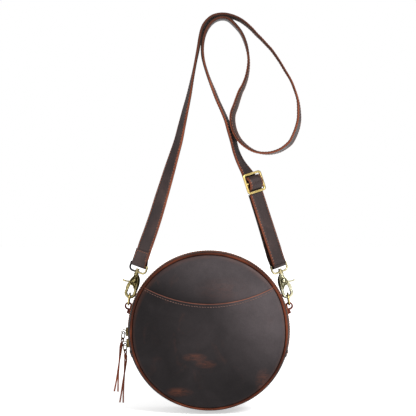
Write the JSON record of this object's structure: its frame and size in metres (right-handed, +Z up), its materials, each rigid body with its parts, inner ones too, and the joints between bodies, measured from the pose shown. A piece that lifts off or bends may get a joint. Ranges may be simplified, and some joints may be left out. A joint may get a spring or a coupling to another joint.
{
  "type": "crossbody bag",
  "caption": "Round leather crossbody bag with a zip over its top, a front slip pocket, and a strap on swivel snap hooks, hung from a peg.",
  "frame": {"origin": "the underside of the strap where it crosses the peg that it hangs on", "axes": "+Z up, the pocket faces -Y, +X to the right as seen from the front"},
  "size_m": [0.2303, 0.0676, 0.4915],
  "materials": {
    "leather": "waxed, grained, dark brown",
    "edge": "raw and dyed edge, red brown",
    "brass": "antique",
    "cloth": "woven",
    "card": "pressed board",
    "tape": "woven tape",
    "lace": "waxed",
    "steel": "plain"
  },
  "bodies": {
    "strap": {"strap_long": "leather", "strap_fold_left": "leather", "strap_fold_right": "leather", "strap_return": "leather"},
    "buckle": {"buckle": "brass", "strap_bight": "leather"},
    "eye_left": {"eye_left": "brass"},
    "eye_right": {"eye_right": "brass"},
    "hook_left": {"hook_left": "brass", "trigger_pin_left": "brass"},
    "hook_right": {"hook_right": "brass", "trigger_pin_right": "brass"},
    "trigger_left": {"trigger_left": "brass", "trigger_spring_left": "steel"},
    "trigger_right": {"trigger_right": "brass", "trigger_spring_right": "steel"},
    "bag": {"back_panel": "leather", "back_board": "card", "back_lining": "cloth", "back_piping": "edge", "lower_gusset": "leather", "gusset_lining": "cloth", "zip_strip_back": "leather", "zip_tape_back": "tape", "zip_teeth_back": "brass", "zip_stops": "brass", "tab_left": "edge", "tab_right": "edge", "front_panel_lower": "leather", "front_board_lower": "card", "front_lining_lower": "cloth", "pocket_lower": "leather", "front_piping_lower": "edge"},
    "mouth": {"front_panel_upper": "leather", "front_board_upper": "card", "front_lining_upper": "cloth", "pocket_upper": "leather", "front_piping_upper": "edge", "zip_strip_front": "leather", "zip_tape_front": "tape", "zip_teeth_front": "brass"},
    "ring_left": {"ring_left": "brass"},
    "ring_right": {"ring_right": "brass"},
    "slider_lower": {"slider_lower": "brass"},
    "slider_upper": {"slider_upper": "brass"},
    "pull_lower": {"pull_ring_lower": "brass", "thong_lower": "lace"},
    "pull_upper": {"pull_ring_upper": "brass", "thong_upper": "lace"}
  },
  "joints": [
    {"name": "buckle_slide", "type": "slide", "parent": "strap", "child": "buckle", "axis": [0.309, 0, -0.9511], "range_m": [0, 0.045]},
    {"name": "eye_left_swing", "type": "hinge", "parent": "strap", "child": "eye_left", "pos_m": [-0.10357, 0, -0.30441], "axis": [-0.8397, 0.4695, 0.2728], "range_deg": [0, 2.5]},
    {"name": "eye_right_swing", "type": "hinge", "parent": "strap", "child": "eye_right", "pos_m": [0.06857, 0, -0.30441], "axis": [-0.7885, -0.5592, -0.2562], "range_deg": [0, 2.5]},
    {"name": "hook_left_swivel", "type": "hinge", "parent": "eye_left", "child": "hook_left", "pos_m": [-0.10357, 0, -0.30441], "axis": [-0.309, 0, -0.9511], "range_deg": [-15, 15]},
    {"name": "hook_right_swivel", "type": "hinge", "parent": "eye_right", "child": "hook_right", "pos_m": [0.06857, 0, -0.30441], "axis": [0.309, 0, -0.9511], "range_deg": [-15, 15]},
    {"name": "trigger_left_press", "type": "hinge", "parent": "hook_left", "child": "trigger_left", "pos_m": [-0.11299, 0, -0.32563], "axis": [0, -1, 0], "range_deg": [0, 25], "stiffness_Nm_per_rad": 0.02, "springref_deg": -5.73},
    {"name": "trigger_right_press", "type": "hinge", "parent": "hook_right", "child": "trigger_right", "pos_m": [0.07799, 0, -0.32563], "axis": [0, 1, 0], "range_deg": [0, 25], "stiffness_Nm_per_rad": 0.02, "springref_deg": -5.73},
    {"name": "bag_swing", "type": "hinge", "parent": "strap", "child": "bag", "pos_m": [0, 0, -0.34008], "axis": [-1, 0, 0], "range_deg": [-20, 20]},
    {"name": "ring_left_tilt", "type": "hinge", "parent": "bag", "child": "ring_left", "pos_m": [-0.11717, 0, -0.35434], "axis": [0, -1, 0], "range_deg": [-4, 4]},
    {"name": "ring_right_tilt", "type": "hinge", "parent": "bag", "child": "ring_right", "pos_m": [0.08217, 0, -0.35434], "axis": [0, 1, 0], "range_deg": [-4, 4]},
    {"name": "slider_lower_run", "type": "hinge", "parent": "bag", "child": "slider_lower", "pos_m": [-0.0175, -0.007, -0.3854], "axis": [0, 1, 0], "range_deg": [0, 10]},
    {"name": "slider_upper_run", "type": "hinge", "parent": "slider_lower", "child": "slider_upper", "pos_m": [-0.0175, -0.007, -0.3854], "axis": [0, 1, 0], "range_deg": [0, 178]},
    {"name": "mouth_open", "type": "hinge", "parent": "bag", "child": "mouth", "pos_m": [-0.0175, -0.0416, -0.40959], "axis": [1, 0, 0], "range_deg": [0, 25], "deforming": ["zip_tape_front", "zip_teeth_front"]},
    {"name": "pull_lower_swing", "type": "hinge", "parent": "slider_lower", "child": "pull_lower", "pos_m": [-0.12069, -0.015, -0.40082], "axis": [0, 1, 0], "range_deg": [0, 60]},
    {"name": "pull_upper_swing", "type": "hinge", "parent": "slider_upper", "child": "pull_upper", "pos_m": [-0.12183, -0.015, -0.38631], "axis": [0, 1, 0], "range_deg": [0, 150]}
  ],
  "couplings": [
    {"joint": "mouth_open", "follows": "slider_upper_run", "ratio": 0.14}
  ]
}
